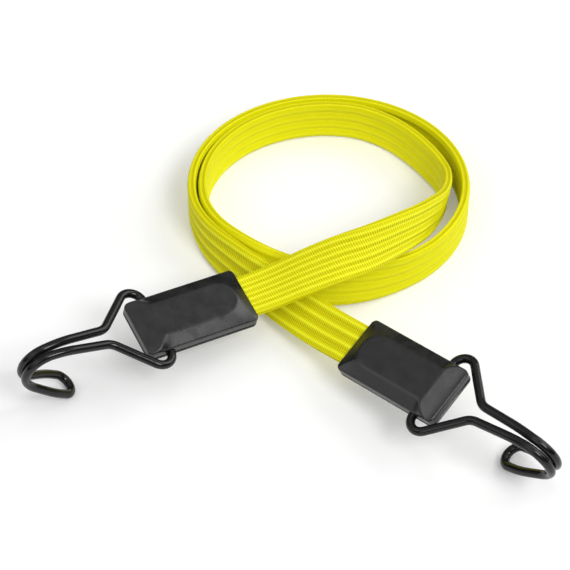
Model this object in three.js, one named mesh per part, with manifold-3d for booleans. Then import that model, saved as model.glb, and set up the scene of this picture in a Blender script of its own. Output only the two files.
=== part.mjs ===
// Flat elastic bungee strap lying in a loose coil on a table. A woven sleeve covers four rubber strips, and
// each end runs into a two-part moulded block that holds the strap's steel clamp and a swinging wire hook.
// Millimetres, +Z up: the table is z = 0, +X is to the viewer's right and +Y away from the viewer.

import * as THREE from 'three';
import { mergeVertices } from 'three/addons/utils/BufferGeometryUtils.js';
import Module from 'manifold-3d';

const wasm = await Module();
wasm.setup();

// Strap: a ribbed sleeve round flat rubber strips
const STRAP_WIDTH = 18;
const RIB_COUNT = 4;
const STRIP_WIDTH = 3.1;
const STRIP_THICKNESS = 1.9;
const SLEEVE_WALL = 0.55;
const GROOVE_DEPTH = 0.3;
const GROOVE_HALF_WIDTH = 0.7;
const SLEEVE_CHAMFER = 0.6;
const SELVEDGE_GROOVE = 0.35;
const STRAP_STEPS = 70;
const ROUTE_DIVISIONS = 4000;
const STRAIGHT_OUT = 3;

// Clearance between pieces that touch, and between the wire and its side holes
const FIT_GAP = 0.3;

// End block, seen from the hook's pivot axis: x towards the nose, y across, z towards the pad
const BLOCK_LENGTH = 46.5;
const BLOCK_WIDTH = 24.2;
const BLOCK_CORNER = 2.2;
const NOSE_REACH = 8.9;
const UNDERSIDE_DEPTH = 4.2;
const UNDERSIDE_ROUND = 2;
const PARTING_HEIGHT = -1;
const WALL_TOP = 3.2;
const WALL_EDGE_ROUND = 0.5;
const PAD_TOP = 5;
const PAD_EDGE_ROUND = 0.25;
const WALL_EDGE_PART = 0.07;
const PAD_EDGE_PART = 0.08;
const PAD_WIDTH = 14;
const PAD_TAIL_MARGIN = 4.5;
const PAD_TAIL_STEPS = 12;
const PAD_FLARE_START = -0.8;
const PAD_FLARE_END = 6.6;
const PAD_FLARE_STEPS = 6;
const PAD_FLARE_MARGIN = 0.8;
const RAMP_START = 1.6;
const RAMP_ANGLE = 19;

// Locating pegs of the lower shell
const PEG_RADIUS = 1.1;
const PEG_HEIGHT = 2;
const PEG_PLACES = [[-8, 8.8], [5.2, 8.2]];

// Folded steel clamp on the strap's end, and the hollow between the hook's stubs
const CLAMP_LENGTH = 12;
const CLAMP_SHEET = 0.6;
const CLAMP_WIDTH = 18.6;
const MOUTH_DEPTH = 3;
const MOUTH_EASE = 0.45;
const STRAP_END_X = -15.5;
const HOLLOW_TAIL_X = -10.5;
const HOLLOW_NOSE_X = 4;
const HOLLOW_WIDTH = 10.8;
const HOLLOW_HEIGHT = 5.4;

// Hook: one hairpin of round wire
const WIRE_DIAMETER = 3.2;
const WIRE_SIDES = 8;
const WIRE_STEPS = 100;
const STUB_INNER_Y = 7;
const STUB_OUTER_Y = 11.9;
const EAR_RADIUS = 4.9;
const LEG_SLANT = 43;
const LEG_LENGTH = 15.6;
const ELBOW_RADIUS = 6.5;
const SHANK_SLANT = 3;
const SHANK_LENGTH = 12.35;
const CROWN_RADIUS = 29.8;
const CROWN_TURN = 19;
const THROAT_RADIUS = 10;
const HAIRPIN_HALF_GAP = 1.85;
const TIP_LENGTH = 16;
const TIP_SPREAD_PART = 0.8;
const TIP_HALF_WIDTH = 4.6;

// Where each block lies, how it is turned, and how its hook hangs in it (degrees)
const LEFT_END = {
  name: 'left',
  pivot: [-48, 20.5, 20.4],
  yaw: 209.3,
  pitch: -5.8,
  roll: -12.5,
  hookLift: -11.5,
  throatTurn: 136,
};
const RIGHT_END = {
  name: 'right',
  pivot: [53.9, -10, 19.9],
  yaw: -43.6,
  pitch: -7.9,
  roll: 19.6,
  hookLift: -6.2,
  throatTurn: 146,
};

// Free stretches of the strap: x, y, z of its middle, and its tilt, 0 lying flat and 90 standing on edge
const STRETCH_FROM_LEFT_BLOCK = [
  [-3.6, 43.2, 18.4, 17], [8.6, 45.9, 23.4, 27.5], [21.1, 48.8, 27.7, 40], [31.1, 52.5, 29, 56],
  [42.5, 60.4, 28.1, 72], [54.3, 73.3, 23.3, 85.5], [61.8, 88.7, 15.9, 96.5], [65, 104.1, 10.9, 94.5],
];
const STRETCH_TO_RIGHT_BLOCK = [
  [-18.6, 62.7, 8.8, 65], [-9.5, 53.7, 8.5, 49], [-0.6, 44.6, 8.8, 37.5],
  [7.9, 35.3, 10.1, 30], [16.5, 26.1, 12.1, 24.5],
];

// Coil: an oval of two turns on edge, drawn in at its start and wider where it passes under the first stretch
const COIL_CENTRE = [17.6, 102.2];
const COIL_INNER = [50.8, 46];
const COIL_OUTER = [55.2, 50.3];
const COIL_START = 15;
const COIL_END = 575;
const COIL_STEP = 15;
const COIL_WIDENS = [215, 310];
const COIL_INSET = 4;
const COIL_INSET_LEAN = 4;
const COIL_INSET_MIDDLE = 32;
const COIL_INSET_REACH = 53;
const COIL_LEAN = 38;
const COIL_LEAN_MIDDLE = 252;
const COIL_LEAN_REACH = 58;
const COIL_EXIT_LEAN = 42;
const COIL_EXIT_LEAN_FROM = 548;
const COIL_EXIT_LEAN_TO = 625;

const STRAP_THICKNESS = STRIP_THICKNESS + 2 * (FIT_GAP + SLEEVE_WALL);
const RIB_PITCH = STRAP_WIDTH / RIB_COUNT;
const TAIL_X = NOSE_REACH - BLOCK_LENGTH;
const SLOT_HALF_HEIGHT = STRAP_THICKNESS / 2 + FIT_GAP;
const CLAMP_HALF_HEIGHT = SLOT_HALF_HEIGHT + CLAMP_SHEET;
const CLAMP_BEND_X = STRAP_END_X + FIT_GAP;
const CLAMP_TAIL_X = CLAMP_BEND_X - CLAMP_LENGTH;
const BORE_RADIUS = WIRE_DIAMETER / 2 + FIT_GAP;
const TAIL_CENTRE_X = TAIL_X + PAD_TAIL_MARGIN + PAD_WIDTH / 2;
const BEYOND = 20;
const CUT_PAST = 1;

const SLEEVE_CLOTH = () => new THREE.MeshStandardMaterial({ color: 0xe2de08, roughness: 0.85, metalness: 0 });
const STRIP_RUBBER = () => new THREE.MeshStandardMaterial({ color: 0xc8a878, roughness: 0.7, metalness: 0 });
const BLOCK_PLASTIC = () => new THREE.MeshStandardMaterial({ color: 0x38383a, roughness: 0.6, metalness: 0 });
const CLAMP_STEEL = () => new THREE.MeshStandardMaterial({ color: 0xb4b6b8, roughness: 0.35, metalness: 1 });
const COATED_WIRE = () => new THREE.MeshStandardMaterial({ color: 0x1b1b1d, roughness: 0.4, metalness: 0.1 });

const { clamp, degToRad, lerp, smoothstep } = THREE.MathUtils;
const v2 = (x, y) => new THREE.Vector2(x, y);
const v3 = (x, y, z) => new THREE.Vector3(x, y, z);

function solid(geometry) {
  const bare = geometry.index ? geometry.toNonIndexed() : geometry.clone();
  bare.deleteAttribute('normal');
  bare.deleteAttribute('uv');
  const merged = mergeVertices(bare, 1e-4);
  const mesh = new wasm.Mesh({
    numProp: 3,
    vertProperties: new Float32Array(merged.attributes.position.array),
    triVerts: new Uint32Array(merged.index.array),
  });
  return new wasm.Manifold(mesh);
}

function surface(body) {
  const mesh = body.getMesh();
  const geometry = new THREE.BufferGeometry();
  geometry.setAttribute('position', new THREE.BufferAttribute(new Float32Array(mesh.vertProperties), 3));
  geometry.setIndex(new THREE.BufferAttribute(new Uint32Array(mesh.triVerts), 1));
  geometry.computeVertexNormals();
  return geometry;
}

function box([x0, x1], [y0, y1], [z0, z1]) {
  const geometry = new THREE.BoxGeometry(x1 - x0, y1 - y0, z1 - z0);
  return solid(geometry.translate((x0 + x1) / 2, (y0 + y1) / 2, (z0 + z1) / 2));
}

function roundedRectangle(x0, x1, halfWidth, radius) {
  const shape = new THREE.Shape();
  shape.moveTo(x0 + radius, -halfWidth);
  shape.lineTo(x1 - radius, -halfWidth);
  shape.absarc(x1 - radius, -halfWidth + radius, radius, -Math.PI / 2, 0);
  shape.lineTo(x1, halfWidth - radius);
  shape.absarc(x1 - radius, halfWidth - radius, radius, 0, Math.PI / 2);
  shape.lineTo(x0 + radius, halfWidth);
  shape.absarc(x0 + radius, halfWidth - radius, radius, Math.PI / 2, Math.PI);
  shape.lineTo(x0, -halfWidth + radius);
  shape.absarc(x0 + radius, -halfWidth + radius, radius, Math.PI, 1.5 * Math.PI);
  return shape;
}

// A slab of the given outline whose two rims fall away over bevelWidth and bevelHeight
function slab(shape, z0, z1, bevelWidth, bevelHeight, bevelSegments) {
  const geometry = new THREE.ExtrudeGeometry(shape, {
    depth: z1 - z0 - 2 * bevelHeight,
    bevelThickness: bevelHeight,
    bevelSize: bevelWidth,
    bevelOffset: -bevelWidth,
    bevelSegments,
    curveSegments: 6,
  });
  return solid(geometry.translate(0, 0, z0 + bevelHeight));
}

// A closed solid through rings of as many points each, anticlockwise seen from above and stacked upwards
function loft(rings) {
  const size = rings[0].length;
  const middle = (ring) => v3((TAIL_X + NOSE_REACH) / 2, 0, ring[0].z);
  const points = [...rings.flat(), middle(rings.at(0)), middle(rings.at(-1))];
  const last = (rings.length - 1) * size;
  const index = [];
  for (let i = 0; i < size; i += 1) {
    const next = (i + 1) % size;
    for (let ring = 0; ring < last; ring += size) {
      const above = ring + size;
      index.push(ring + i, ring + next, above + next, ring + i, above + next, above + i);
    }
    index.push(points.length - 2, next, i, points.length - 1, last + i, last + next);
  }
  const geometry = new THREE.BufferGeometry().setFromPoints(points);
  geometry.setIndex(index);
  return solid(geometry);
}

// Points round a block's wall and round its pad, in pairs and anticlockwise from the start of the tail
function wallAndPad() {
  const wide = BLOCK_WIDTH / 2;
  const half = PAD_WIDTH / 2;
  const wall = [];
  const pad = [];
  for (let i = 0; i <= PAD_TAIL_STEPS; i += 1) {
    const part = i / PAD_TAIL_STEPS;
    const turn = Math.PI * (1 / 2 + part);
    const quarters = 4 * part;
    const x = lerp(TAIL_CENTRE_X, TAIL_X, Math.min(quarters, 4 - quarters, 1));
    wall.push(v2(x, lerp(wide, -wide, clamp(quarters / 2 - 1 / 2, 0, 1))));
    pad.push(v2(TAIL_CENTRE_X + half * Math.cos(turn), half * Math.sin(turn)));
  }
  const sides = [];
  for (let i = 0; i <= PAD_FLARE_STEPS; i += 1) {
    const x = lerp(PAD_FLARE_START, PAD_FLARE_END, i / PAD_FLARE_STEPS);
    const flare = smoothstep(x, PAD_FLARE_START, PAD_FLARE_END);
    sides.push([x, lerp(half, wide - PAD_FLARE_MARGIN, flare)]);
  }
  sides.push([NOSE_REACH, wide - PAD_FLARE_MARGIN]);
  wall.push(...sides.map(([x]) => v2(x, -wide)), ...sides.map(([x]) => v2(x, wide)).reverse());
  pad.push(...sides.map(([x, y]) => v2(x, -y)), ...sides.map(([x, y]) => v2(x, y)).reverse());
  return { wall, pad };
}

// A flat pad whose flanks fall to the walls on all sides
function blockTop() {
  const { wall, pad } = wallAndPad();
  const ring = (part, z) => wall.map((point, i) => {
    const { x, y } = point.clone().lerp(pad[i], part);
    return v3(x, y, z);
  });
  return loft([
    ring(0, -UNDERSIDE_DEPTH),
    ring(0, WALL_TOP - WALL_EDGE_ROUND),
    ring(WALL_EDGE_PART, WALL_TOP),
    ring(1 - PAD_EDGE_PART, PAD_TOP - PAD_EDGE_ROUND),
    ring(1, PAD_TOP),
  ]);
}

function sideHoles() {
  const length = BLOCK_WIDTH / 2 - STUB_INNER_Y + FIT_GAP + CUT_PAST;
  const middle = STUB_INNER_Y - FIT_GAP + length / 2;
  const hole = (side) => solid(new THREE.CylinderGeometry(BORE_RADIUS, BORE_RADIUS, length, 16)
    .translate(0, side * middle, 0));
  return hole(1).add(hole(-1));
}

// The straight walls under each side hole, through which the stubs are laid into the upper shell
function sideHoleMouths() {
  const inner = STUB_INNER_Y - FIT_GAP;
  const outer = BLOCK_WIDTH / 2 + CUT_PAST;
  const mouth = (from, to) => box([-BORE_RADIUS, BORE_RADIUS], [from, to], [PARTING_HEIGHT - CUT_PAST, 0]);
  return mouth(inner, outer).add(mouth(-outer, -inner));
}

function pegs(radius, bottom, top) {
  const peg = (x, y) => solid(new THREE.CylinderGeometry(radius, radius, top - bottom, 14)
    .rotateX(Math.PI / 2).translate(x, y, (top + bottom) / 2));
  return PEG_PLACES.flatMap(([x, y]) => [peg(x, y), peg(x, -y)]).reduce((all, one) => all.add(one));
}

// Everything inside a block: the strap's slot and eased mouth, the clamp's pocket, the hollow, the side holes
function blockInside() {
  const halfStrap = STRAP_WIDTH / 2 + FIT_GAP;
  const halfClamp = CLAMP_WIDTH / 2 + FIT_GAP;
  const pocketHalf = CLAMP_HALF_HEIGHT + FIT_GAP;
  const shoulder = CLAMP_TAIL_X - FIT_GAP;
  const pocketNose = CLAMP_BEND_X + CLAMP_HALF_HEIGHT + FIT_GAP;
  const slot = box(
    [TAIL_X - CUT_PAST, shoulder + CUT_PAST],
    [-halfStrap, halfStrap],
    [-SLOT_HALF_HEIGHT, SLOT_HALF_HEIGHT],
  );
  const mouth = box(
    [TAIL_X - CUT_PAST, TAIL_X + MOUTH_DEPTH],
    [-halfStrap - MOUTH_EASE, halfStrap + MOUTH_EASE],
    [-SLOT_HALF_HEIGHT - MOUTH_EASE, SLOT_HALF_HEIGHT + MOUTH_EASE],
  );
  const pocket = box([shoulder, pocketNose], [-halfClamp, halfClamp], [-pocketHalf, pocketHalf]);
  const hollow = box(
    [HOLLOW_TAIL_X, HOLLOW_NOSE_X],
    [-HOLLOW_WIDTH / 2, HOLLOW_WIDTH / 2],
    [-HOLLOW_HEIGHT / 2, HOLLOW_HEIGHT / 2],
  );
  return slot.add(mouth).add(pocket).add(hollow).add(sideHoles());
}

function noseRamp() {
  const wedge = new THREE.BoxGeometry(2 * BEYOND, 2 * BEYOND, BEYOND);
  wedge.translate(0, 0, BEYOND / 2).rotateY(degToRad(RAMP_ANGLE));
  return solid(wedge.translate(RAMP_START, 0, PAD_TOP));
}

function upperShell() {
  const outline = roundedRectangle(TAIL_X, NOSE_REACH, BLOCK_WIDTH / 2, BLOCK_CORNER);
  const seam = PARTING_HEIGHT + FIT_GAP / 2;
  const walls = slab(outline, -BEYOND, BEYOND, 1, 1, 1);
  const above = box([-2 * BEYOND, BEYOND], [-BEYOND, BEYOND], [seam, BEYOND]);
  const form = blockTop().intersect(walls).intersect(above).subtract(noseRamp());
  const sockets = pegs(PEG_RADIUS + FIT_GAP, seam - CUT_PAST, seam + PEG_HEIGHT + FIT_GAP);
  return surface(form.subtract(blockInside()).subtract(sideHoleMouths()).subtract(sockets));
}

function lowerShell() {
  const outline = roundedRectangle(TAIL_X, NOSE_REACH, BLOCK_WIDTH / 2, BLOCK_CORNER);
  const seam = PARTING_HEIGHT - FIT_GAP / 2;
  const tray = slab(outline, -UNDERSIDE_DEPTH, PAD_TOP, UNDERSIDE_ROUND, UNDERSIDE_ROUND, 3);
  const below = box([-2 * BEYOND, BEYOND], [-BEYOND, BEYOND], [-BEYOND, seam]);
  const form = tray.intersect(below).subtract(blockInside());
  return surface(form.add(pegs(PEG_RADIUS, seam - CUT_PAST, seam + PEG_HEIGHT)));
}

// One strip of steel folded round the strap's end
function strapClamp() {
  const shape = new THREE.Shape();
  shape.moveTo(CLAMP_TAIL_X, -CLAMP_HALF_HEIGHT);
  shape.absarc(CLAMP_BEND_X, 0, CLAMP_HALF_HEIGHT, -Math.PI / 2, Math.PI / 2);
  shape.lineTo(CLAMP_TAIL_X, CLAMP_HALF_HEIGHT);
  shape.lineTo(CLAMP_TAIL_X, SLOT_HALF_HEIGHT);
  shape.absarc(CLAMP_BEND_X, 0, SLOT_HALF_HEIGHT, Math.PI / 2, -Math.PI / 2, true);
  shape.lineTo(CLAMP_TAIL_X, -SLOT_HALF_HEIGHT);
  const width = { depth: CLAMP_WIDTH, bevelEnabled: false, curveSegments: 8 };
  const sheet = new THREE.ExtrudeGeometry(shape, width);
  return sheet.translate(0, 0, -CLAMP_WIDTH / 2).rotateX(Math.PI / 2);
}

// Middle line of one half of the hook, from the end of its stub to the middle of its tip
function hookHalf(throatTurn) {
  const slant = degToRad(LEG_SLANT);
  const shank = degToRad(SHANK_SLANT);
  const line = [v3(0, STUB_INNER_Y, 0)];
  const flatArc = (x, y, radius, from, to, count) => {
    for (let i = 0; i <= count; i += 1) {
      const turn = lerp(from, to, i / count);
      line.push(v3(x + radius * Math.cos(turn), y + radius * Math.sin(turn), 0));
    }
  };
  flatArc(EAR_RADIUS, STUB_OUTER_Y, EAR_RADIUS, Math.PI, Math.PI / 2 - slant, 9);
  const knee = line.at(-1).clone().add(v3(LEG_LENGTH * Math.cos(slant), -LEG_LENGTH * Math.sin(slant), 0));
  const elbowX = knee.x + ELBOW_RADIUS * Math.sin(slant);
  const elbowY = knee.y + ELBOW_RADIUS * Math.cos(slant);
  flatArc(elbowX, elbowY, ELBOW_RADIUS, 1.5 * Math.PI - slant, 1.5 * Math.PI - shank, 4);
  const bow = line.at(-1).clone();
  bow.add(v3(SHANK_LENGTH * Math.cos(shank), -SHANK_LENGTH * Math.sin(shank), 0));
  line.push(bow.clone());
  let turned = 0;
  const downArc = (radius, turn, count, closing) => {
    const x = bow.x - radius * Math.sin(turned);
    const z = bow.z - radius * Math.cos(turned);
    const y = bow.y;
    for (let i = 1; i <= count; i += 1) {
      const at = turned + turn * i / count;
      bow.set(x + radius * Math.sin(at), lerp(y, closing, i / count), z + radius * Math.cos(at));
      line.push(bow.clone());
    }
    turned += turn;
  };
  downArc(CROWN_RADIUS, degToRad(CROWN_TURN), 4, HAIRPIN_HALF_GAP);
  downArc(THROAT_RADIUS, degToRad(throatTurn), 14, HAIRPIN_HALF_GAP);
  const back = v3(Math.cos(turned), 0, -Math.sin(turned));
  for (let i = 1; i <= 5; i += 1) {
    const part = i / 5;
    const spread = lerp(HAIRPIN_HALF_GAP, TIP_HALF_WIDTH, smoothstep(part, 0, TIP_SPREAD_PART));
    line.push(bow.clone().addScaledVector(back, TIP_LENGTH * part).setY(spread));
  }
  const tip = bow.clone().addScaledVector(back, TIP_LENGTH);
  for (let i = 1; i <= 5; i += 1) {
    const turn = Math.PI / 2 * i / 5;
    const reach = tip.clone().addScaledVector(back, TIP_HALF_WIDTH * Math.sin(turn));
    line.push(reach.setY(TIP_HALF_WIDTH * Math.cos(turn)));
  }
  return line;
}

function hook(throatTurn) {
  const half = hookHalf(throatTurn);
  const mirrored = half.slice(0, -1).reverse().map((point) => v3(point.x, -point.y, point.z));
  const section = new THREE.Shape();
  for (let i = 0; i < WIRE_SIDES; i += 1) {
    const turn = 2 * Math.PI * i / WIRE_SIDES;
    const corner = v2(WIRE_DIAMETER / 2 * Math.cos(turn), WIRE_DIAMETER / 2 * Math.sin(turn));
    if (i === 0) section.moveTo(corner.x, corner.y);
    else section.lineTo(corner.x, corner.y);
  }
  section.closePath();
  return new THREE.ExtrudeGeometry(section, {
    steps: WIRE_STEPS,
    bevelEnabled: false,
    extrudePath: new THREE.CatmullRomCurve3([...half, ...mirrored], false, 'centripetal'),
  });
}

// Half height that a tilted strap needs to stay on the table
function restHeight(tilt) {
  const turn = degToRad(tilt);
  return STRAP_WIDTH / 2 * Math.sin(turn) + STRAP_THICKNESS / 2 * Math.abs(Math.cos(turn));
}

// A smooth swell from 0 to 1 and back, over the reach on either side of the middle
function swell(turn, middle, reach) {
  return (1 + Math.cos(Math.PI * Math.min(Math.abs(turn - middle) / reach, 1))) / 2;
}

function coilPoints() {
  const points = [];
  for (let turn = COIL_START; turn <= COIL_END; turn += COIL_STEP) {
    const widened = smoothstep(turn, ...COIL_WIDENS);
    const drawnIn = swell(turn, COIL_INSET_MIDDLE, COIL_INSET_REACH);
    const inset = COIL_INSET * drawnIn;
    const x = (lerp(COIL_INNER[0], COIL_OUTER[0], widened) - inset) * Math.cos(degToRad(turn));
    const y = (lerp(COIL_INNER[1], COIL_OUTER[1], widened) - inset) * Math.sin(degToRad(turn));
    const crossing = COIL_LEAN * swell(turn, COIL_LEAN_MIDDLE, COIL_LEAN_REACH);
    const leaving = COIL_EXIT_LEAN * smoothstep(turn, COIL_EXIT_LEAN_FROM, COIL_EXIT_LEAN_TO);
    const tilt = 90 + COIL_INSET_LEAN * drawnIn - crossing - leaving;
    points.push([COIL_CENTRE[0] + x, COIL_CENTRE[1] + y, restHeight(tilt), tilt]);
  }
  return points;
}

// Straight run of the strap inside a block, from its end out past the tail
function seatPoints(end, placement) {
  const places = [STRAP_END_X, (STRAP_END_X + TAIL_X) / 2, TAIL_X, TAIL_X - STRAIGHT_OUT];
  return places.map((x) => [...v3(x, 0, 0).applyMatrix4(placement), Math.abs(end.roll)]);
}

// The strap's middle line from one block to the other, and its tilt along that line
function strapRoute(leftPlacement, rightPlacement) {
  const route = [
    ...seatPoints(LEFT_END, leftPlacement), ...STRETCH_FROM_LEFT_BLOCK, ...coilPoints(),
    ...STRETCH_TO_RIGHT_BLOCK, ...seatPoints(RIGHT_END, rightPlacement).reverse(),
  ];
  const middle = new THREE.CatmullRomCurve3(route.map(([x, y, z]) => v3(x, y, z)), false, 'centripetal');
  const tilts = new THREE.CatmullRomCurve3(route.map(([, , , tilt]) => v3(tilt, 0, 0)), false, 'catmullrom');
  middle.arcLengthDivisions = ROUTE_DIVISIONS;
  return { middle, tilts, length: middle.getLength() };
}

// Cross-sections along the strap: middle, direction, and the directions across its width and thickness
function strapStations({ middle, tilts }, count) {
  const stations = [];
  for (let i = 0; i <= count; i += 1) {
    const along = middle.getUtoTmapping(i / count);
    const tilt = degToRad(tilts.getPoint(along).x);
    const forward = middle.getTangent(along);
    const level = v3(-forward.y, forward.x, 0).normalize();
    const across = level.multiplyScalar(Math.cos(tilt)).add(v3(0, 0, Math.sin(tilt)));
    across.addScaledVector(forward, -across.dot(forward)).normalize();
    const through = forward.clone().cross(across);
    const lowest = STRAP_WIDTH / 2 * Math.abs(across.z) + STRAP_THICKNESS / 2 * Math.abs(through.z);
    const centre = middle.getPoint(along);
    centre.z = Math.max(centre.z, lowest);
    stations.push({ centre, forward, across, through });
  }
  return stations;
}

// A closed sweep of one outline, which runs anticlockwise seen from the strap's far end
function sweep(stations, outline) {
  const size = outline.length;
  const position = stations.flatMap(({ centre, across, through }) => outline.flatMap((point) => (
    centre.clone().addScaledVector(across, point.x).addScaledVector(through, point.y).toArray()
  )));
  const index = [];
  for (let first = 0; first < (stations.length - 1) * size; first += size) {
    for (let i = 0; i < size; i += 1) {
      const a = first + i;
      const b = first + (i + 1) % size;
      index.push(a, b, a + size, b, b + size, a + size);
    }
  }
  const last = (stations.length - 1) * size;
  for (const [a, b, c] of THREE.ShapeUtils.triangulateShape(outline, [])) {
    index.push(a, c, b, last + a, last + b, last + c);
  }
  const geometry = new THREE.BufferGeometry();
  geometry.setAttribute('position', new THREE.Float32BufferAttribute(position, 3));
  geometry.setIndex(index);
  geometry.computeVertexNormals();
  return geometry;
}

const ribMiddle = (rib) => (rib + 0.5) * RIB_PITCH - STRAP_WIDTH / 2;

// The sleeve's outline: a groove on both faces between each two ribs, and one along each chamfered edge
function sleeveOutline() {
  const half = STRAP_THICKNESS / 2;
  const edge = STRAP_WIDTH / 2;
  const face = [v2(-edge, half - SLEEVE_CHAMFER), v2(SLEEVE_CHAMFER - edge, half)];
  for (let rib = 1; rib < RIB_COUNT; rib += 1) {
    const groove = rib * RIB_PITCH - edge;
    face.push(v2(groove - GROOVE_HALF_WIDTH, half), v2(groove, half - GROOVE_DEPTH));
    face.push(v2(groove + GROOVE_HALF_WIDTH, half));
  }
  face.push(v2(edge - SLEEVE_CHAMFER, half), v2(edge, half - SLEEVE_CHAMFER), v2(edge - SELVEDGE_GROOVE, 0));
  return [...face.map(({ x, y }) => v2(-x, y)), ...face.map(({ x, y }) => v2(x, -y))];
}

function stripSection(rib, margin) {
  const x = STRIP_WIDTH / 2 + margin;
  const y = STRIP_THICKNESS / 2 + margin;
  const middle = ribMiddle(rib);
  return [v2(middle - x, -y), v2(middle + x, -y), v2(middle + x, y), v2(middle - x, y)];
}

// The woven sleeve, with a channel for each rubber strip running out at both ends
function sleeve(stations, ribs) {
  const pastEnds = stations.map((station) => ({ ...station, centre: station.centre.clone() }));
  pastEnds.at(0).centre.addScaledVector(pastEnds.at(0).forward, -CUT_PAST);
  pastEnds.at(-1).centre.addScaledVector(pastEnds.at(-1).forward, CUT_PAST);
  const whole = solid(sweep(stations, sleeveOutline()));
  const channels = ribs.map((rib) => solid(sweep(pastEnds, stripSection(rib, FIT_GAP))));
  return surface(channels.reduce((body, channel) => body.subtract(channel), whole));
}

// Least distance between the faces of the strap where it passes itself, measured on points
function leastGapToItself(stations, spacing) {
  const points = [];
  const rows = 12;
  stations.forEach(({ centre, across, through }, place) => {
    for (let row = 0; row <= rows; row += 1) {
      for (const face of [-0.5, 0.5]) {
        const point = centre.clone().addScaledVector(across, STRAP_WIDTH * (row / rows - 0.5));
        points.push({ place, point: point.addScaledVector(through, STRAP_THICKNESS * face) });
      }
    }
  });
  const apart = 2 * STRAP_WIDTH / spacing;
  let least = Infinity;
  for (const a of points) {
    for (const b of points) {
      if (b.place - a.place > apart) least = Math.min(least, a.point.distanceToSquared(b.point));
    }
  }
  return Math.sqrt(least);
}

function mesh(name, geometry, material) {
  const part = new THREE.Mesh(geometry, material);
  part.name = name;
  return part;
}

// One end of the strap: the two shells, the clamp inside them and the hook that swings in their side holes
function endBlock(end) {
  const group = new THREE.Group();
  group.position.set(...end.pivot);
  group.rotation.set(degToRad(end.roll), degToRad(end.pitch), degToRad(end.yaw), 'ZYX');
  group.add(mesh(`${end.name}_upper_shell`, upperShell(), BLOCK_PLASTIC()));
  group.add(mesh(`${end.name}_lower_shell`, lowerShell(), BLOCK_PLASTIC()));
  group.add(mesh(`${end.name}_strap_clamp`, strapClamp(), CLAMP_STEEL()));
  const swing = new THREE.Group();
  swing.rotation.y = degToRad(end.hookLift);
  swing.add(mesh(`${end.name}_hook`, hook(end.throatTurn), COATED_WIRE()));
  group.add(swing);
  group.updateMatrixWorld(true);
  return group;
}

const bungee = new THREE.Group();
const leftBlock = endBlock(LEFT_END);
const rightBlock = endBlock(RIGHT_END);
bungee.add(leftBlock, rightBlock);

const route = strapRoute(leftBlock.matrixWorld, rightBlock.matrixWorld);
const stations = strapStations(route, STRAP_STEPS);
const ribs = [...Array(RIB_COUNT).keys()];
bungee.add(mesh('strap_cover', sleeve(stations, ribs), SLEEVE_CLOTH()));
for (const rib of ribs) {
  bungee.add(mesh(`rubber_strip_${rib + 1}`, sweep(stations, stripSection(rib, 0)), STRIP_RUBBER()));
}

const finePlaces = Math.round(route.length);
const gap = leastGapToItself(strapStations(route, finePlaces), route.length / finePlaces);
console.log(`strap ${route.length.toFixed(1)} mm long, least gap to itself ${gap.toFixed(2)} mm`);

export default bungee;
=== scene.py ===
import math

import bmesh
import bpy
import numpy as np
from mathutils import Euler, Matrix, Vector


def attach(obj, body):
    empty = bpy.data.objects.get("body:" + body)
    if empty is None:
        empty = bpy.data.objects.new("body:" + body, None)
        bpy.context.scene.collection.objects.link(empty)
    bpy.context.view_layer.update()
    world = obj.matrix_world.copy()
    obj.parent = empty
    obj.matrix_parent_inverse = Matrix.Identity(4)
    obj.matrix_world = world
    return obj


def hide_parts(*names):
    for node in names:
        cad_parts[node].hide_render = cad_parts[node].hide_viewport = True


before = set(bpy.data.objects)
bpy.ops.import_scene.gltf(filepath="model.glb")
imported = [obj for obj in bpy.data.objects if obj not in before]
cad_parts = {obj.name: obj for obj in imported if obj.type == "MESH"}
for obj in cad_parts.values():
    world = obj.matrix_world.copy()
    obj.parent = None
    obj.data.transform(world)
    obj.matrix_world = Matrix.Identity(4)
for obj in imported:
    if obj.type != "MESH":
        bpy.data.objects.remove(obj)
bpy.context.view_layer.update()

# Camera: it looks along +Y and down at a point on the table, as fitted to the photograph
LOOK_AT = Vector((0.0, 0.0607, 0.0))
CAMERA_DISTANCE = 0.8
CAMERA_ELEVATION = math.radians(47)
SENSOR_WIDTH_MM = 36
IMAGE_WIDTH_PX = 570
FOCAL_LENGTH_PX = 2024

# Strap: ribs with a furrow and a thin seam cord between them, and a rubber strip under each rib
STRAP_WIDTH = 0.018
STRAP_THICKNESS = 0.0036
RIB_COUNT = 4
RIB_PITCH = STRAP_WIDTH / RIB_COUNT
RIB_GROOVE = 0.0009
RIB_FULLNESS = 0.9
SEAM_CORD = 0.00028
SEAM_CORD_HALF_WIDTH = 0.0005
SELVEDGE_RADIUS = 0.0010
SELVEDGE_FULLNESS = 0.8
SELVEDGE_GROOVE = 0.0005
SELVEDGE_GROOVE_WIDTH = 0.0006
STRIP_WIDTH = 0.0031
STRIP_THICKNESS = 0.0019
SLEEVE_STEP = 0.001
STRIP_STEP = 0.003
FACE_POINTS = 73
SELVEDGE_POINTS = 21
STRIP_END_POINTS = 7
ROUTE_SPAN_POINTS = 40

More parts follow.
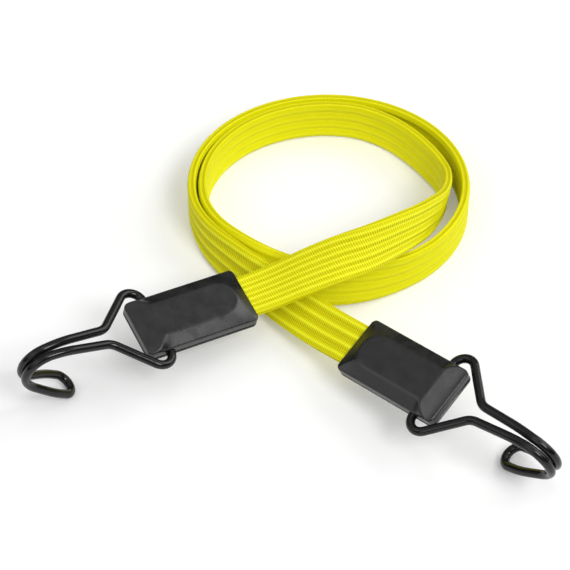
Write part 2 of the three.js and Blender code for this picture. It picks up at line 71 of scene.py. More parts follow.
# Weave: the coil's start and end by length along the strap, and rows and stitches as shares of WEAVE_DEPTH
COILED_FROM = (0.100, 0.130)
COILED_TO = (0.600, 0.640)
ROW_PITCH = RIB_PITCH / 2
ROW_HEIGHT = 0.46
RIB_SHARPNESS = 4.0
SEAM_SHARPNESS = 6.0
SEAM_FADES_BY = 0.55
# Seam valleys: how much the colour darkens there as painted shade and the bump dips, and how much more where
# the strap is relaxed
VALLEY_SHADE_DEPTH = 0.06
VALLEY_SHADE_DEEPENS_BY = 0.2
STITCH_PITCH = 0.00092
STITCH_SLANT = 0.45
STITCH_WANDER = 0.3
STITCH_HEIGHT = 0.46
STITCH_RISE_ON_ROW = 0.10
FUZZ_HEIGHT = 0.4
RAISED_MIDDLE = 0.42
WEAVE_MIDDLE = 0.6
SMOOTHED_BY = 0.75
# Edge groove: where it lies across the section, and how much it darkens the colour as painted shade and dents
# the bump
EDGE_GROOVE_SPAN = (0.6, 1.5)
EDGE_GROOVE_DEPTH_AND_SHADE = 0.3
WEAVE_DEPTH = 0.00022
# Colours by the weave's height, which also drives its bump: the yarn's own yellow, darker in the hollows as
# painted shade and lighter on the raised rows and stitches as painted highlight
SHADED_YELLOWS = [
    (0.0, (0.38, 0.32, 0.0)), (0.3, (0.64, 0.59, 0.0)),
    (0.6, (0.81, 0.78, 0.001)), (0.9, (0.95, 0.95, 0.03)),
]

# End block, seen from the hook's pivot axis: x towards the nose, y across, z towards the pad
TAIL_X = -0.0376
NOSE_X = 0.0089
HALF_WIDTH = 0.0121
CORNER = 0.0021
WALL_TOP = 0.0025
UPPER_SEAM = -0.00075
LOWER_SEAM = -0.00125
SEAM_EASE = 0.00025
UNDERSIDE = -0.0042
UNDERSIDE_ROUND = 0.0026
EDGE_ROUND = 0.00045
PAD_TOP = 0.0050
PAD_HALF_WIDTH = 0.0070
PAD_TAIL_MARGIN = 0.0045
PAD_FLARE = (-0.0008, 0.0066)
PAD_FLARE_MARGIN = 0.0008
PAD_EDGE_SOFTNESS = 0.16
FLANK_WIDTH = 0.0050
LEAST_FLANK = 0.000001
RAMP_START = 0.0016
RAMP_DROP = 0.0026
RAMP_HOLLOW = 1.4
RAMP_ROUND = 0.0006
BORE_RADIUS = 0.0019
BORE_INNER_Y = 0.0067
SLOT_HALF_WIDTH = 0.0099
SLOT_HALF_HEIGHT = 0.0020
SLOT_DEPTH = 0.012
CUT_PAST = 0.002
LONG_SIDE_POINTS = 110
SHORT_SIDE_POINTS = 50
CORNER_POINTS = 10
LEAST_CORNER = 0.00002
WALL_LEVELS = (0.09, 0.5, 1)
EDGE_INSETS = [0.00003, 0.0001, 0.0002, 0.00035, 0.0005, 0.0007]
TOP_INSETS_FROM = 0.001
TOP_INSET_STEP = 0.0003
TOP_MIDDLE_GAP = 0.0001
UNDERSIDE_POINTS = 9
BORE_SIDES = 40
SHARP_ANGLE = math.radians(40)

# Hook
WIRE_RADIUS = 0.00172
STUB_INNER_Y = 0.007
STUB_OUTER_Y = 0.0119
EAR_RADIUS = 0.0049
LEG_SLANT = math.radians(43)
LEG_LENGTH = 0.0156
ELBOW_RADIUS = 0.0065
SHANK_SLANT = math.radians(3)
SHANK_LENGTH = 0.01235
CROWN_RADIUS = 0.0298
CROWN_TURN = math.radians(19)
THROAT_RADIUS = 0.010
HAIRPIN_HALF_GAP = 0.00185
TIP_LENGTH = 0.016
TIP_OPENS = (-0.008, 0.013)
TIP_HALF_WIDTH = 0.0046
EAR_POINTS = 28
ELBOW_POINTS = 12
CROWN_POINTS = 12
THROAT_POINTS = 48
TIP_POINTS = 16
TIP_END_POINTS = 14
WIRE_STEP = 0.0005
WIRE_SIDES = 24
WIRE_END_RINGS = 6
WIRE_END_FLAT = 0.02

# Where each block's pivot lies in metres, how the block is turned and how its hook hangs in it in degrees
ENDS = {
    "left": dict(pivot=(-0.048, 0.0205, 0.0204), roll=-12.5, pitch=-5.8, yaw=209.3, lift=-11.5, throat=136),
    "right": dict(pivot=(0.0539, -0.01, 0.0199), roll=19.6, pitch=-7.9, yaw=-43.6, lift=-6.2, throat=146),
}

# The strap's straight run in each block, from its end to a little past the tail
STRAP_END_X = -0.0155
PAST_TAIL = 0.003

# Free stretches of the strap: x, y, z of its middle in metres, and its tilt in degrees
STRETCH_FROM_LEFT_BLOCK = [
    (-0.0036, 0.0432, 0.0184, 17), (0.0086, 0.0459, 0.0234, 27.5), (0.0211, 0.0488, 0.0277, 40),
    (0.0311, 0.0525, 0.029, 56), (0.0425, 0.0604, 0.0281, 72), (0.0543, 0.0733, 0.0233, 85.5),
    (0.0618, 0.0887, 0.0159, 96.5), (0.065, 0.1041, 0.0109, 94.5),
]
STRETCH_TO_RIGHT_BLOCK = [
    (-0.0186, 0.0627, 0.0088, 65), (-0.0095, 0.0537, 0.0085, 49), (-0.0006, 0.0446, 0.0088, 37.5),
    (0.0079, 0.0353, 0.0101, 30), (0.0165, 0.0261, 0.0121, 24.5),
]

# Coil: an oval on edge, one and a half times round, drawn in at its start and wider later (m and degrees)
COIL_CENTRE = (0.0176, 0.1022)
COIL_INNER = (0.0508, 0.046)
COIL_OUTER = (0.0552, 0.0503)
COIL_TURNS = range(15, 576, 15)
COIL_WIDENS = (215, 310)
COIL_INSET = 0.004
COIL_INSET_LEAN = 4
COIL_INSET_MIDDLE = 32
COIL_INSET_REACH = 53
COIL_LEAN = 38
COIL_LEAN_MIDDLE = 252
COIL_LEAN_REACH = 58
COIL_EXIT_LEAN = 42
COIL_EXIT_LEAN_SPAN = (548, 625)

# Stage and light: the floor, a dome that is darker at its foot, and lamps by name, place, size and watts
FLOOR_HALF_SIZE = 12.0
FLOOR_BELOW = 0.0002
FLOOR_GLOW = 0.14
DOME_FOOT = 0.05
DOME_TOP = 0.54
DOME_RISE = (0.35, 0.75)
LAMPS = (
    ("key", (1.2, -1.35, 2.0), 1.0, 29.0),
    ("fill", (-0.9, -1.5, 1.0), 1.2, 6.0),
    ("left", (-1.6, 0.1, 1.0), 1.2, 3.5),
    ("right", (1.7, 0.7, 1.2), 1.6, 19.0),
    ("top", (0.0, -0.3, 2.3), 0.8, 3.5),
)


def smoothstep(value, low, high):
    """0 up to low, 1 from high on, smooth in between."""
    part = np.clip((np.asarray(value, float) - low) / (high - low), 0, 1)
    return part * part * (3 - 2 * part)


def block_matrix(end):
    """From the block's own axes, with the hook's pivot as origin, to the frame."""
    facts = ENDS[end]
    turn = Matrix.Rotation(math.radians(facts["yaw"]), 4, "Z")
    turn = turn @ Matrix.Rotation(math.radians(facts["pitch"]), 4, "Y")
    turn = turn @ Matrix.Rotation(math.radians(facts["roll"]), 4, "X")
    return Matrix.Translation(facts["pivot"]) @ turn


def hook_matrix(end):
    return block_matrix(end) @ Matrix.Rotation(math.radians(ENDS[end]["lift"]), 4, "Y")


def make_camera():
    data = bpy.data.cameras.new("camera")
    data.sensor_width = SENSOR_WIDTH_MM
    data.lens = SENSOR_WIDTH_MM * FOCAL_LENGTH_PX / IMAGE_WIDTH_PX
    camera = bpy.data.objects.new("camera", data)
    back = Vector((0, -math.cos(CAMERA_ELEVATION), math.sin(CAMERA_ELEVATION)))
    camera.location = LOOK_AT + CAMERA_DISTANCE * back
    camera.rotation_euler = Euler((math.pi / 2 - CAMERA_ELEVATION, 0, 0))
    bpy.context.collection.objects.link(camera)
    bpy.context.scene.camera = camera


def add_piece(name, vertices, faces, material, uv_maps=None):
    mesh = bpy.data.meshes.new(name)
    mesh.from_pydata([tuple(v) for v in vertices], [], [tuple(f) for f in faces])
    for map_name, uv in (uv_maps or {}).items():
        layer = mesh.uv_layers.new(name=map_name)
        loops = np.empty(len(mesh.loops), dtype=np.int32)
        mesh.loops.foreach_get("vertex_index", loops)
        layer.data.foreach_set("uv", np.asarray(uv, dtype=np.float32)[loops].ravel())
    mesh.polygons.foreach_set("use_smooth", np.ones(len(mesh.polygons), dtype=bool))
    mesh.materials.append(material)
    piece = bpy.data.objects.new(name, mesh)
    bpy.context.collection.objects.link(piece)
    return piece


def ring_faces(rings, count):
    """Faces that join rings of as many points each, one after the other, and close the first and the last."""
    start = np.arange(rings - 1)[:, None] * count
    here = start + np.arange(count)
    beside = start + (np.arange(count) + 1) % count
    faces = np.stack([here, beside, beside + count, here + count], axis=-1).reshape(-1, 4).tolist()
    last = (rings - 1) * count
    return faces + [list(range(count))[::-1], list(range(last, last + count))]


# Route of the strap


def rest_height(tilt):
    """Height of the strap's middle where it rests on the table at this tilt."""
    turn = math.radians(tilt)
    return STRAP_WIDTH / 2 * math.sin(turn) + STRAP_THICKNESS / 2 * abs(math.cos(turn))


def swell(turn, middle, reach):
    """A smooth swell from 0 to 1 and back, over the reach on either side of the middle."""
    return (1 + math.cos(math.pi * min(abs(turn - middle) / reach, 1))) / 2


def coil_points():
    points = []
    for turn in COIL_TURNS:
        widened = float(smoothstep(turn, *COIL_WIDENS))
        drawn_in = swell(turn, COIL_INSET_MIDDLE, COIL_INSET_REACH)
        inset = COIL_INSET * drawn_in
        radius_x = COIL_INNER[0] + (COIL_OUTER[0] - COIL_INNER[0]) * widened - inset
        radius_y = COIL_INNER[1] + (COIL_OUTER[1] - COIL_INNER[1]) * widened - inset
        crossing = COIL_LEAN * swell(turn, COIL_LEAN_MIDDLE, COIL_LEAN_REACH)
        leaving = COIL_EXIT_LEAN * float(smoothstep(turn, *COIL_EXIT_LEAN_SPAN))
        tilt = 90 + COIL_INSET_LEAN * drawn_in - crossing - leaving
        x = COIL_CENTRE[0] + radius_x * math.cos(math.radians(turn))
        y = COIL_CENTRE[1] + radius_y * math.sin(math.radians(turn))
        points.append((x, y, rest_height(tilt), tilt))
    return points


def seat_points(end):
    places = (STRAP_END_X, (STRAP_END_X + TAIL_X) / 2, TAIL_X, TAIL_X - PAST_TAIL)
    return [(*(block_matrix(end) @ Vector((x, 0, 0))), abs(ENDS[end]["roll"])) for x in places]


def through_points(points):
    """A smooth curve through the points, whose spans are weighed by the square root of their length."""
    points = np.asarray(points, float)
    points = np.vstack([2 * points[0] - points[1], points, 2 * points[-1] - points[-2]])
    curve = []
    part = np.linspace(0, 1, ROUTE_SPAN_POINTS, endpoint=False)[:, None]
    for p0, p1, p2, p3 in zip(points, points[1:], points[2:], points[3:]):
        d0, d1, d2 = (np.linalg.norm((b - a)[:3]) ** 0.5 for a, b in ((p0, p1), (p1, p2), (p2, p3)))
        t1 = ((p1 - p0) / d0 - (p2 - p0) / (d0 + d1) + (p2 - p1) / d1) * d1
        t2 = ((p2 - p1) / d1 - (p3 - p1) / (d1 + d2) + (p3 - p2) / d2) * d1
        cubic = 2 * p1 - 2 * p2 + t1 + t2
        square = -3 * p1 + 3 * p2 - 2 * t1 - t2
        curve.append(p1 + t1 * part + square * part ** 2 + cubic * part ** 3)
    return np.vstack([*curve, points[-2][None]])


def resample(curve, spacing):
    """The curve at even steps, and how far along it each of them is."""
    steps = np.linalg.norm(np.diff(curve[:, :3], axis=0), axis=1)
    along = np.concatenate([[0], np.cumsum(steps)])
    places = np.linspace(0, along[-1], round(along[-1] / spacing) + 1)
    return np.column_stack([np.interp(places, along, column) for column in curve.T]), places


def strap_stations(spacing):
    """At even steps: the middle, the directions across and through the strap, and the length so far."""
    route = seat_points("left") + STRETCH_FROM_LEFT_BLOCK + coil_points() + STRETCH_TO_RIGHT_BLOCK
    route += seat_points("right")[::-1]
    curve, places = resample(through_points(route), spacing)
    centre = curve[:, :3]
    tilt = np.radians(curve[:, 3:])
    forward = np.gradient(centre, axis=0)
    forward /= np.linalg.norm(forward, axis=1, keepdims=True)
    level = np.column_stack([-forward[:, 1], forward[:, 0], np.zeros(len(forward))])
    level /= np.linalg.norm(level, axis=1, keepdims=True)
    across = level * np.cos(tilt) + np.array([0, 0, 1]) * np.sin(tilt)
    across -= forward * np.sum(across * forward, axis=1, keepdims=True)
    across /= np.linalg.norm(across, axis=1, keepdims=True)
    through = np.cross(forward, across)
    lowest = STRAP_WIDTH / 2 * np.abs(across[:, 2]) + STRAP_THICKNESS / 2 * np.abs(through[:, 2])
    centre[:, 2] = np.maximum(centre[:, 2], lowest)
    return centre, across, through, places


def sweep(name, stations, outline, material):
    """A closed band of the outline along the stations; its UV maps are length and width, and its section."""
    centre, across, through, places = stations
    outline = np.asarray(outline)
    count = len(outline)
    vertices = (
        centre[:, None]
        + across[:, None] * outline[None, :, :1]
        + through[:, None] * outline[None, :, 1:]
    ).reshape(-1, 3)
    uv_maps = {
        "cloth": np.column_stack([np.repeat(places, count), np.tile(outline[:, 0], len(places))]),
        "section": np.tile(outline, (len(places), 1)),
    }
    return add_piece(name, vertices, ring_faces(len(places), count), material, uv_maps)


def sleeve_outline():
    """Anticlockwise: the lower ribbed face, the right selvedge, the upper ribbed face, the left selvedge."""
    half = STRAP_WIDTH / 2
    x = np.linspace(SELVEDGE_RADIUS - half, half - SELVEDGE_RADIUS, FACE_POINTS)
    broad = np.abs(np.sin(np.pi * (x + half) / RIB_PITCH)) ** RIB_FULLNESS
    from_seam = np.abs((x + half + RIB_PITCH / 2) % RIB_PITCH - RIB_PITCH / 2)
    cord = SEAM_CORD * np.exp(-((from_seam / SEAM_CORD_HALF_WIDTH) ** 2))
    face = STRAP_THICKNESS / 2 - RIB_GROOVE * (1 - broad) + cord
    turns = np.linspace(-np.pi / 2, np.pi / 2, SELVEDGE_POINTS)[1:-1]
    edge_y = face[-1] * np.sin(turns)
    notch = SELVEDGE_GROOVE * np.exp(-((edge_y / SELVEDGE_GROOVE_WIDTH) ** 2))
    edge_x = half - SELVEDGE_RADIUS + SELVEDGE_RADIUS * np.cos(turns) ** SELVEDGE_FULLNESS - notch
    edge = list(zip(edge_x, edge_y))
    lower = list(zip(x, -face))
    return lower + edge + [(-px, -py) for px, py in lower] + [(-px, -py) for px, py in edge]


def strip_outline(rib):
    middle = (rib + 0.5) * RIB_PITCH - STRAP_WIDTH / 2
    half = STRIP_WIDTH / 2 - STRIP_THICKNESS / 2
    ends = np.linspace(-np.pi / 2, np.pi / 2, STRIP_END_POINTS)
    radius = STRIP_THICKNESS / 2
    right = [(middle + half + radius * math.cos(turn), radius * math.sin(turn)) for turn in ends]
    return right + [(2 * middle - px, -py) for px, py in right]


# Materials


def new_material(name):
    material = bpy.data.materials.new(name)
    material.use_nodes = True
    return material, material.node_tree, material.node_tree.nodes["Principled BSDF"]


def calc(tree, operation, *values):
    node = tree.nodes.new("ShaderNodeMath")
    node.operation = operation
    for socket, value in zip(node.inputs, values):
        if isinstance(value, (int, float)):
            socket.default_value = value
        else:
            tree.links.new(value, socket)
    return node.outputs[0]


def ramp(tree, value, stops):
    node = tree.nodes.new("ShaderNodeValToRGB")
    elements = node.color_ramp.elements
    while len(elements) < len(stops):
        elements.new(0.5)
    for element, (place, colour) in zip(elements, stops):
        element.position = place
        element.color = (*colour, 1)
    tree.links.new(value, node.inputs["Fac"])
    return node.outputs["Color"]


def noise(tree, scale, detail=3.0):
    where = tree.nodes.new("ShaderNodeTexCoord")
    node = tree.nodes.new("ShaderNodeTexNoise")
    node.inputs["Scale"].default_value = scale
    node.inputs["Detail"].default_value = detail
    tree.links.new(where.outputs["Object"], node.inputs["Vector"])
    return node.outputs["Fac"]


def bump(tree, shader, height, distance, strength=1.0):
    node = tree.nodes.new("ShaderNodeBump")
    node.inputs["Distance"].default_value = distance
    node.inputs["Strength"].default_value = strength
    tree.links.new(height, node.inputs["Height"])
    tree.links.new(node.outputs["Normal"], shader.inputs["Normal"])


def uv_axes(tree, name):
    node = tree.nodes.new("ShaderNodeUVMap")
    node.uv_map = name
    split = tree.nodes.new("ShaderNodeSeparateXYZ")
    tree.links.new(node.outputs["UV"], split.inputs["Vector"])
    return split.outputs["X"], split.outputs["Y"]


def between(tree, value, low, high):
    """0 up to low, 1 from high on, smooth in between."""
    node = tree.nodes.new("ShaderNodeMapRange")
    node.interpolation_type = "SMOOTHSTEP"
    node.inputs["From Min"].default_value = low
    node.inputs["From Max"].default_value = high
    tree.links.new(value, node.inputs["Value"])
    return node.outputs["Result"]


def mottle(tree, shader, pattern, dark, light, roughness=None):
    """Colour from dark to light by the pattern, and roughness between two values where they are given."""
    low, high = 0.3, 0.7
    colour = ramp(tree, pattern, [(low, dark), (high, light)])
    tree.links.new(colour, shader.inputs["Base Color"])
    if roughness:
        least, most = roughness
        rough = ramp(tree, pattern, [(low, (least, least, least)), (high, (most, most, most))])
        tree.links.new(rough, shader.inputs["Roughness"])


def weave_rows(tree, wave, relaxed):
    """Rows along the ribs and along the seams between them; the seams fade where the strap is relaxed."""
    seam = calc(tree, "POWER", calc(tree, "MAXIMUM", wave, 0.0), SEAM_SHARPNESS)
    crown = calc(tree, "MAXIMUM", calc(tree, "MULTIPLY", wave, -1.0), 0.0)
    rib = calc(tree, "POWER", crown, RIB_SHARPNESS)
    seam_share = calc(tree, "SUBTRACT", 1.0, calc(tree, "MULTIPLY", relaxed, SEAM_FADES_BY))
    return calc(tree, "ADD", calc(tree, "MULTIPLY", seam, seam_share), rib)


def weave_stitches(tree, along, lane, row):
    """Slanting stitches, a little uneven and taller on the rows."""
    wander = calc(tree, "MULTIPLY", calc(tree, "SUBTRACT", noise(tree, 500.0), 0.5), STITCH_WANDER)
    slant = calc(tree, "ADD", calc(tree, "MULTIPLY", lane, STITCH_SLANT), wander)
    turn = calc(tree, "ADD", calc(tree, "DIVIDE", along, STITCH_PITCH), slant)
    thread = calc(tree, "SINE", calc(tree, "MULTIPLY", calc(tree, "FRACT", turn), math.pi))
    tall = calc(tree, "ADD", calc(tree, "MULTIPLY", row, STITCH_RISE_ON_ROW), STITCH_HEIGHT)
    return calc(tree, "MULTIPLY", thread, tall)


def sleeve_cloth():
    """Yellow weave whose colour follows its relief: painted shade in the hollows, along the seam valleys and
    in a groove along each selvedge, painted highlight on the raised rows and stitches; smoother in the coil
    and at the selvedges.
    """
    material, tree, shader = new_material("woven_sleeve")
    along, width = uv_axes(tree, "cloth")
    _, depth = uv_axes(tree, "section")
    lane = calc(tree, "DIVIDE", width, ROW_PITCH)
    wave = calc(tree, "COSINE", calc(tree, "MULTIPLY", lane, math.pi))
    relaxed = between(tree, along, *COILED_TO)
    row = weave_rows(tree, wave, relaxed)
    stitch = weave_stitches(tree, along, lane, row)
    fuzz = calc(tree, "MULTIPLY", calc(tree, "SUBTRACT", noise(tree, 2600.0), 0.5), FUZZ_HEIGHT)
    raised = calc(tree, "ADD", calc(tree, "MULTIPLY", row, ROW_HEIGHT), calc(tree, "ADD", stitch, fuzz))
    # Painted shade: the weave darkens along the valleys at the seams, more where the strap is relaxed; the
    # same value dips the bump
    valley_shade_depth = calc(tree, "ADD", calc(tree, "MULTIPLY", relaxed, VALLEY_SHADE_DEEPENS_BY), VALLEY_SHADE_DEPTH)
    valley_shade = calc(tree, "MULTIPLY", calc(tree, "MAXIMUM", wave, 0.0), valley_shade_depth)
    raised = calc(tree, "SUBTRACT", raised, valley_shade)
    coiled = calc(tree, "SUBTRACT", between(tree, along, *COILED_FROM), relaxed)
    half = STRAP_WIDTH / 2
    from_middle = calc(tree, "ABSOLUTE", width)
    edge = between(tree, from_middle, half - SELVEDGE_RADIUS, half - SELVEDGE_RADIUS / 2)
    smooth = calc(tree, "MAXIMUM", coiled, edge)
    open_weave = calc(tree, "SUBTRACT", 1.0, calc(tree, "MULTIPLY", smooth, SMOOTHED_BY))
    relief = calc(tree, "MULTIPLY", calc(tree, "SUBTRACT", raised, RAISED_MIDDLE), open_weave)
    weave = calc(tree, "ADD", relief, WEAVE_MIDDLE)
    # Painted shade: the colour darkens in a groove along each selvedge, and the same value dents the bump
    off_middle = calc(tree, "DIVIDE", calc(tree, "ABSOLUTE", depth), SELVEDGE_GROOVE_WIDTH)
    in_groove = calc(tree, "SUBTRACT", 1.0, between(tree, off_middle, *EDGE_GROOVE_SPAN))
    groove_shade = calc(tree, "MULTIPLY", edge, in_groove)
    height = calc(tree, "SUBTRACT", weave, calc(tree, "MULTIPLY", groove_shade, EDGE_GROOVE_DEPTH_AND_SHADE))
    # Colour from the height: painted shade where it is low, painted highlight where it is high
    tree.links.new(ramp(tree, height, SHADED_YELLOWS), shader.inputs["Base Color"])
    bump(tree, shader, height, WEAVE_DEPTH, 0.8)
    shader.inputs["Roughness"].default_value = 0.6
    shader.inputs["Specular IOR Level"].default_value = 0.15
    return material


def strip_rubber():
    """Natural rubber, faintly uneven."""
    material, tree, shader = new_material("rubber_strip")
    mottle(tree, shader, noise(tree, 300.0), (0.48, 0.31, 0.14), (0.62, 0.43, 0.22))
    bump(tree, shader, noise(tree, 1800.0), 0.00005)
    shader.inputs["Roughness"].default_value = 0.65
    return material


def block_plastic():
    """Charcoal plastic, slightly cloudy in tone and gloss, as it comes from the mould."""
    material, tree, shader = new_material("block_plastic")
    cloud = noise(tree, 220.0, 2.0)
    mottle(tree, shader, cloud, (0.005, 0.005, 0.0055), (0.013, 0.013, 0.0135), (0.24, 0.34))
    bump(tree, shader, cloud, 0.00006, 0.5)
    shader.inputs["Specular IOR Level"].default_value = 0.65
    return material


def coated_wire():
    """Black coating over steel, faintly uneven from dipping."""
    material, tree, shader = new_material("coated_wire")
    mottle(tree, shader, noise(tree, 260.0), (0.003, 0.003, 0.0035), (0.006, 0.006, 0.0065), (0.15, 0.24))
    bump(tree, shader, noise(tree, 700.0), 0.00004, 0.5)
    shader.inputs["Specular IOR Level"].default_value = 0.38
    return material


def clamp_steel():
    """Plain sheet steel, uneven in tone and gloss."""
    material, tree, shader = new_material("clamp_steel")
    mottle(tree, shader, noise(tree, 900.0, 6.0), (0.42, 0.42, 0.44), (0.58, 0.58, 0.60), (0.28, 0.45))
    shader.inputs["Metallic"].default_value = 1.0
    return material


# Hook


def tip_opening(reach):
    """How far each wire has left the hairpin's gap, by its reach from the end of the throat."""
    return (TIP_HALF_WIDTH - HAIRPIN_HALF_GAP) * float(smoothstep(reach, *TIP_OPENS))


def hook_half(throat_turn):
    """Middle line of one half of the hook, from the end of its stub to the middle of its tip."""
    line = [(0, STUB_INNER_Y, 0)]

    def flat_arc(x, y, radius, start, end, count):
        for turn in np.linspace(start, end, count):
            line.append((x + radius * math.cos(turn), y + radius * math.sin(turn), 0))

    flat_arc(EAR_RADIUS, STUB_OUTER_Y, EAR_RADIUS, math.pi, math.pi / 2 - LEG_SLANT, EAR_POINTS)
    knee_x = line[-1][0] + LEG_LENGTH * math.cos(LEG_SLANT)
    knee_y = line[-1][1] - LEG_LENGTH * math.sin(LEG_SLANT)
    elbow_x = knee_x + ELBOW_RADIUS * math.sin(LEG_SLANT)
    elbow_y = knee_y + ELBOW_RADIUS * math.cos(LEG_SLANT)
    down = 1.5 * math.pi
    flat_arc(elbow_x, elbow_y, ELBOW_RADIUS, down - LEG_SLANT, down - SHANK_SLANT, ELBOW_POINTS)
    x = line[-1][0] + SHANK_LENGTH * math.cos(SHANK_SLANT)
    y = line[-1][1] - SHANK_LENGTH * math.sin(SHANK_SLANT)
    z = 0.0
    line.append((x, y, z))
    turned = 0.0
    bends = (
        (CROWN_RADIUS, CROWN_TURN, CROWN_POINTS),
        (THROAT_RADIUS, math.radians(throat_turn), THROAT_POINTS),
    )
    to_tip = sum(radius * turn for radius, turn, _ in bends)
    for radius, turn, count in bends:
        centre_x = x - radius * math.sin(turned)
        centre_z = z - radius * math.cos(turned)
        start_y = y
        for part in np.linspace(0, 1, count)[1:]:
            x = centre_x + radius * math.sin(turned + turn * part)
            y = start_y + (HAIRPIN_HALF_GAP - start_y) * part + tip_opening(radius * turn * part - to_tip)
            z = centre_z + radius * math.cos(turned + turn * part)
            line.append((x, y, z))
        turned += turn
        to_tip -= radius * turn
    back = np.array([math.cos(turned), 0, -math.sin(turned)])
    bow = np.array([x, 0, z])
    for part in np.linspace(0, 1, TIP_POINTS)[1:]:
        spread = HAIRPIN_HALF_GAP + tip_opening(TIP_LENGTH * part)
        line.append(tuple(bow + back * TIP_LENGTH * part + np.array([0, spread, 0])))
    for turn in np.linspace(0, math.pi / 2, TIP_END_POINTS)[1:]:
        reach = TIP_LENGTH + TIP_HALF_WIDTH * math.sin(turn)
        line.append(tuple(bow + back * reach + np.array([0, TIP_HALF_WIDTH * math.cos(turn), 0])))
    return line


def wire_frames(line):
    """Two directions square to the line at each point, carried along it without twist."""
    forward = np.gradient(line, axis=0)
    forward /= np.linalg.norm(forward, axis=1, keepdims=True)
    side = np.array([0, 0, 1.0])
    sides = []
    for direction in forward:
        side = side - direction * np.dot(side, direction)
        side = side / np.linalg.norm(side)
        sides.append(side)
    sides = np.array(sides)
    return sides, np.cross(forward, sides)


def make_hook(end, material):
    """A round wire along both halves of the hook, with rounded ends."""
    half = hook_half(ENDS[end]["throat"])
    whole = np.array(half + [(x, -y, z) for x, y, z in half[-2::-1]])
    line, _ = resample(whole, WIRE_STEP)
    out, up = wire_frames(line)
    radius = np.full(len(line), WIRE_RADIUS)
    for ring in range(WIRE_END_RINGS):
        swollen = math.sqrt(1 - (1 - ring / WIRE_END_RINGS) ** 2)
        radius[ring] = radius[-1 - ring] = WIRE_RADIUS * (WIRE_END_FLAT + (1 - WIRE_END_FLAT) * swollen)
    turns = np.linspace(0, 2 * np.pi, WIRE_SIDES, endpoint=False)
    circle = np.cos(turns)[None, :, None] * out[:, None] + np.sin(turns)[None, :, None] * up[:, None]
    vertices = (line[:, None] + circle * radius[:, None, None]).reshape(-1, 3)
    piece = add_piece(f"{end}_hook_wire", vertices, ring_faces(len(line), WIRE_SIDES), material)
    piece.data.transform(hook_matrix(end))
    return piece


# End blocks


def inset_outline(inset):
    """The block's rounded outline, moved in by the given amount, with the same count of points each time."""
    radius = max(CORNER - inset, LEAST_CORNER)
    half_x = (NOSE_X - TAIL_X) / 2 - inset
    half_y = HALF_WIDTH - inset
    middle = (NOSE_X + TAIL_X) / 2
    points = []
    corners = ((1, -1, -90), (1, 1, 0), (-1, 1, 90), (-1, -1, 180))
    counts = (SHORT_SIDE_POINTS, LONG_SIDE_POINTS, SHORT_SIDE_POINTS, LONG_SIDE_POINTS)
    for (sx, sy, start), count in zip(corners, counts):
        turns = np.radians(np.linspace(start, start + 90, CORNER_POINTS))
        cx = middle + sx * (half_x - radius)
        cy = sy * (half_y - radius)
        points += [(cx + radius * math.cos(turn), cy + radius * math.sin(turn)) for turn in turns]
        span = 2 * ((half_y if count == SHORT_SIDE_POINTS else half_x) - radius)
        step = np.array((-math.sin(turns[-1]), math.cos(turns[-1]))) * span / (count + 1)
        points += [tuple(points[-1] + step * k) for k in range(1, count + 1)]
    return np.array(points)


def pad_depth(x, y):
    """How far inside the pad's outline a point lies: straight sides, a round tail and a flare at the nose."""
    tail_centre = TAIL_X + PAD_TAIL_MARGIN + PAD_HALF_WIDTH
    widening = HALF_WIDTH - PAD_FLARE_MARGIN - PAD_HALF_WIDTH
    half = PAD_HALF_WIDTH + widening * smoothstep(x, *PAD_FLARE)
    part = np.clip((x - PAD_FLARE[0]) / (PAD_FLARE[1] - PAD_FLARE[0]), 0, 1)
    slope = widening * 6 * part * (1 - part) / (PAD_FLARE[1] - PAD_FLARE[0])
    straight = (half - np.abs(y)) / np.sqrt(1 + slope ** 2)
    round_tail = PAD_HALF_WIDTH - np.hypot(x - tail_centre, y)
    return np.where(x < tail_centre, round_tail, straight)


def soft_lower(first, second, softness):
    """The lower of two heights, rounded where they meet."""
    mix = np.clip(0.5 + 0.5 * (second - first) / softness, 0, 1)
    return second + (first - second) * mix - softness * mix * (1 - mix)


def top_height(x, y, inset):
    """A flat pad, flanks that fall from it to the walls, and a hollow ramp down to the nose."""
    depth = pad_depth(x, y)
    flank = np.where(depth < 0, np.maximum(inset - depth, LEAST_FLANK), FLANK_WIDTH)
    reach = soft_lower(1 + depth / flank, np.ones(len(x)), PAD_EDGE_SOFTNESS)
    height = WALL_TOP + (PAD_TOP - WALL_TOP) * np.maximum(reach, 0)
    along = np.clip((x - RAMP_START) / (NOSE_X - RAMP_START), -1, 1)
    fall = np.where(along < 0, RAMP_HOLLOW * along, 1 - (1 - np.maximum(along, 0)) ** RAMP_HOLLOW)
    height = soft_lower(height, PAD_TOP - RAMP_DROP * fall, RAMP_ROUND)
    corner = np.clip(EDGE_ROUND - inset, 0, EDGE_ROUND)
    return height - (EDGE_ROUND - np.sqrt(EDGE_ROUND ** 2 - corner ** 2))


def level_ring(outline, height):
    return np.column_stack([outline, np.full(len(outline), height)])


def upper_rings():
    """Rings of points from the seam up the wall, over the edge and in to the middle of the top."""
    outline = inset_outline(0)
    edge = top_height(outline[:, 0], outline[:, 1], 0)
    rings = [level_ring(inset_outline(SEAM_EASE), UPPER_SEAM)]
    for level in WALL_LEVELS:
        rings.append(np.column_stack([outline, UPPER_SEAM + (edge - UPPER_SEAM) * level]))
    top_insets = np.arange(TOP_INSETS_FROM, HALF_WIDTH - TOP_MIDDLE_GAP, TOP_INSET_STEP)
    for inset in [*EDGE_INSETS, *top_insets]:
        outline = inset_outline(inset)
        rings.append(np.column_stack([outline, top_height(outline[:, 0], outline[:, 1], inset)]))
    return rings


